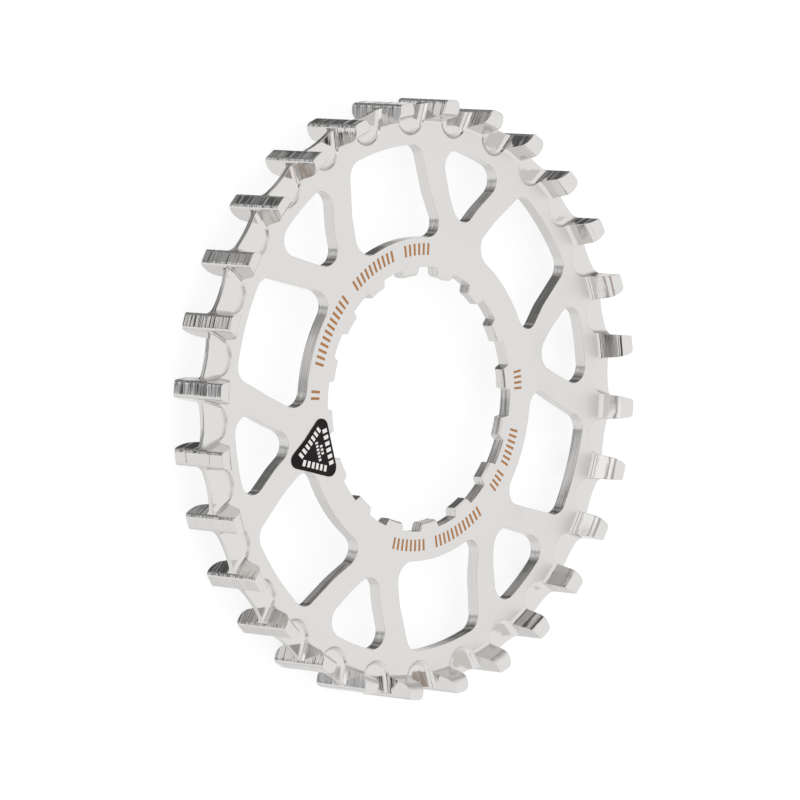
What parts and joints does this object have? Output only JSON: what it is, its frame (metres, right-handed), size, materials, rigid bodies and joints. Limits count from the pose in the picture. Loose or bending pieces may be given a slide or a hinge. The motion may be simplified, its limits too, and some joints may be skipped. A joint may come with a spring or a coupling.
{
  "type": "belt drive sprocket",
  "caption": "Bicycle belt drive sprocket: toothed ring with a centre fin, windowed dished web and splined bore, with a small blank sticker on its hub.",
  "frame": {"origin": "on the sprocket's axis, in the middle plane of the teeth, the centre fin and the rim web", "axes": "+Z along the axis out of the marked face, +X through the middle of a tooth that lies over a spline root"},
  "size_m": [0.0964, 0.0964, 0.0108],
  "materials": {
    "stainless_steel": "satin",
    "sticker_vinyl": "semi-gloss"
  },
  "bodies": {
    "root": {"sprocket": "stainless_steel", "sticker": "sticker_vinyl"}
  },
  "joints": []
}
